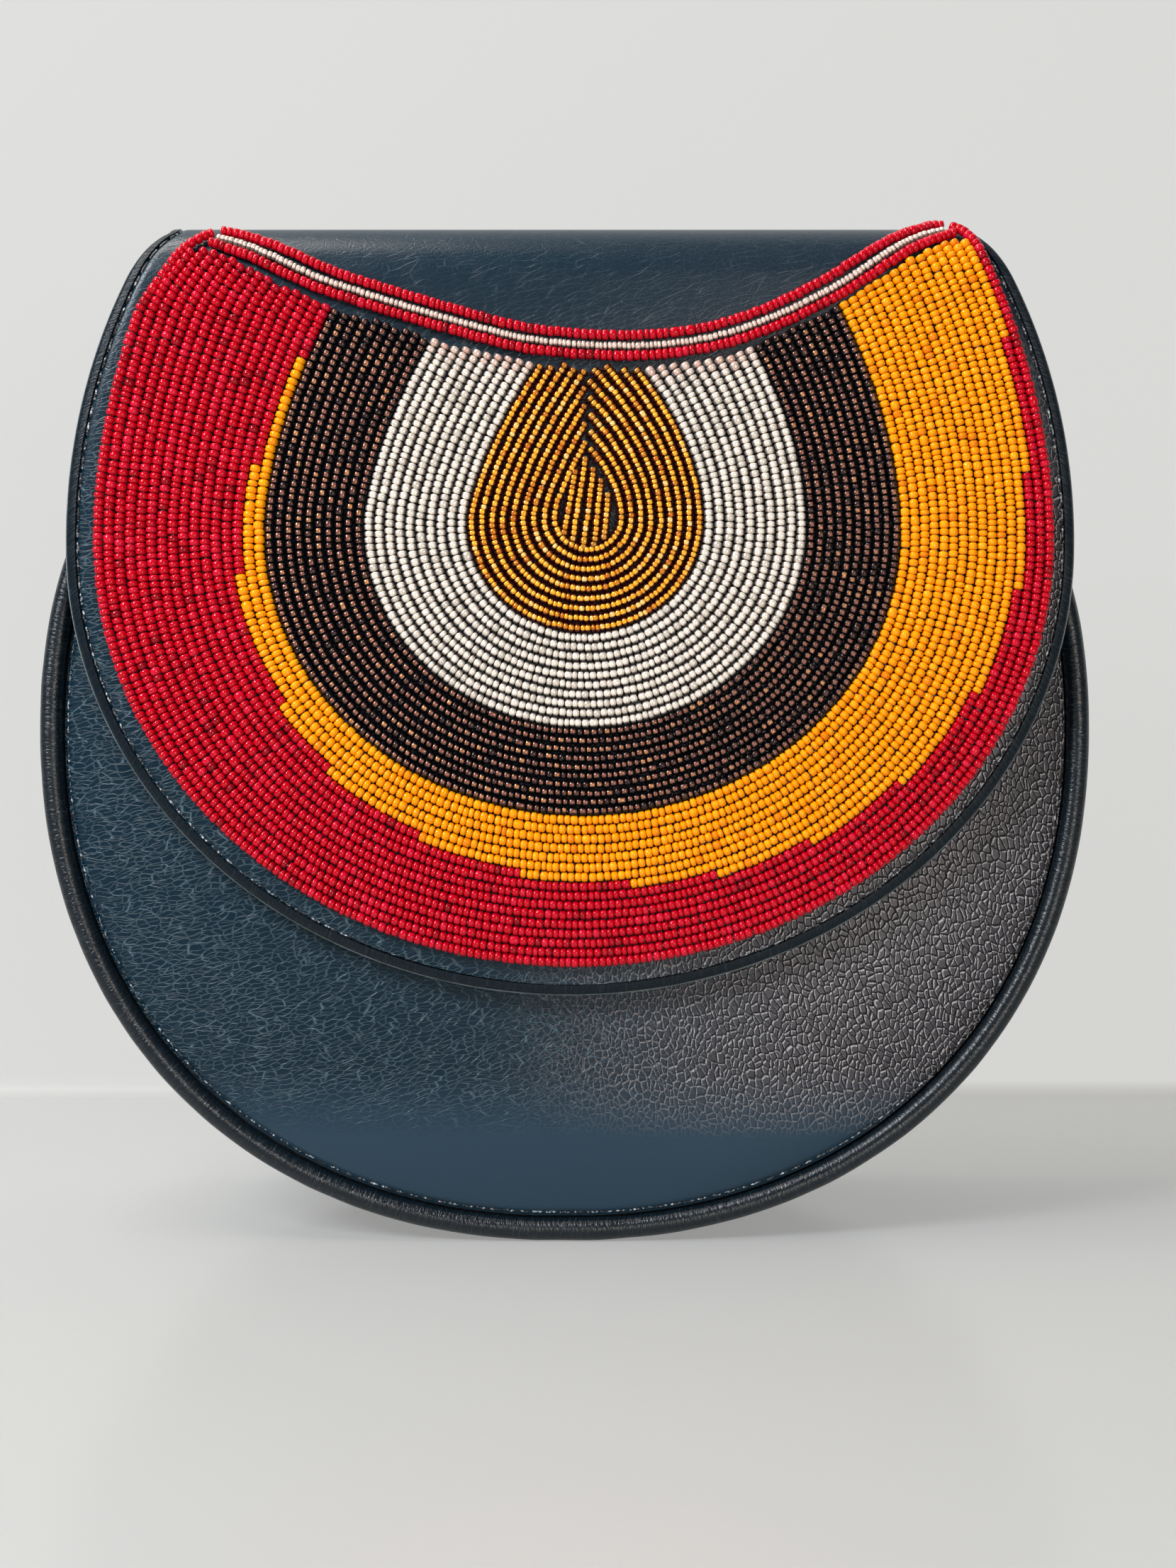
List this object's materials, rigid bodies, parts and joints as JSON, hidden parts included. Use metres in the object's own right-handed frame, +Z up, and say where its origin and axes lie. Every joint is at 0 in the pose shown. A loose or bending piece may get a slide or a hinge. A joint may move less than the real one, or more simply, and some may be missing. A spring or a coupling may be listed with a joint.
{
  "type": "crossbody bag",
  "caption": "Round leather crossbody bag with piped seams, a gusset and a beaded flap that swings open over the top, with a strap ring at each end.",
  "frame": {"origin": "on the floor, under the middle of the bag", "axes": "+X to the right as seen from the front, along the bag's width; +Y from the beaded front to the back; +Z up"},
  "size_m": [0.22, 0.0716, 0.2118],
  "materials": {
    "pebbled_leather": "pebbled, semi-gloss, blue-black",
    "edge_leather": "smooth, semi-gloss, with fine wrinkles, black",
    "stiffening_board": "matte grey-brown fibre",
    "cotton_lining": "matte black twill",
    "red_beads": "opaque, glossy, crimson",
    "yellow_beads": "opaque, glossy, orange-yellow",
    "brown_beads": "glossy, lined with copper, dark brown",
    "silver_beads": "glossy, lined with silver",
    "gold_beads": "glossy, lined with gold, amber",
    "nickel_hardware": "polished nickel plate"
  },
  "bodies": {
    "body": {"front_panel": "pebbled_leather", "back_panel": "pebbled_leather", "gusset": "pebbled_leather", "front_piping": "edge_leather", "back_piping": "edge_leather", "mouth_binding": "edge_leather", "front_board": "stiffening_board", "back_board": "stiffening_board", "front_lining": "cotton_lining", "back_lining": "cotton_lining", "gusset_lining": "cotton_lining", "back_facing": "pebbled_leather", "flap_anchor": "pebbled_leather", "snap_socket": "nickel_hardware", "socket_washer": "nickel_hardware", "ring_tab_left": "pebbled_leather", "ring_tab_right": "pebbled_leather", "rivet_left": "nickel_hardware", "rivet_right": "nickel_hardware"},
    "flap": {"flap_leather": "pebbled_leather", "flap_board": "stiffening_board", "flap_lining": "cotton_lining", "flap_binding": "edge_leather", "red_beads": "red_beads", "yellow_beads": "yellow_beads", "brown_beads": "brown_beads", "silver_beads": "silver_beads", "gold_beads": "gold_beads", "gold_centre_beads": "gold_beads", "neckline_upper_row": "red_beads", "neckline_middle_row": "silver_beads", "neckline_lower_row": "red_beads", "snap_stud": "nickel_hardware", "stud_washer": "nickel_hardware"},
    "ring_left": {"ring_left": "nickel_hardware"},
    "ring_right": {"ring_right": "nickel_hardware"}
  },
  "joints": [
    {"name": "flap_hinge", "type": "hinge", "parent": "body", "child": "flap", "pos_m": [0, 0.0288, 0.1973], "axis": [-1, 0, 0], "range_deg": [0, 180]},
    {"name": "ring_left_swing", "type": "hinge", "parent": "body", "child": "ring_left", "pos_m": [-0.09308, 0.0045, 0.16531], "axis": [0, 1, 0], "range_deg": [0, 150]},
    {"name": "ring_right_swing", "type": "hinge", "parent": "body", "child": "ring_right", "pos_m": [0.09308, 0.0045, 0.16531], "axis": [0, -1, 0], "range_deg": [0, 150]}
  ]
}
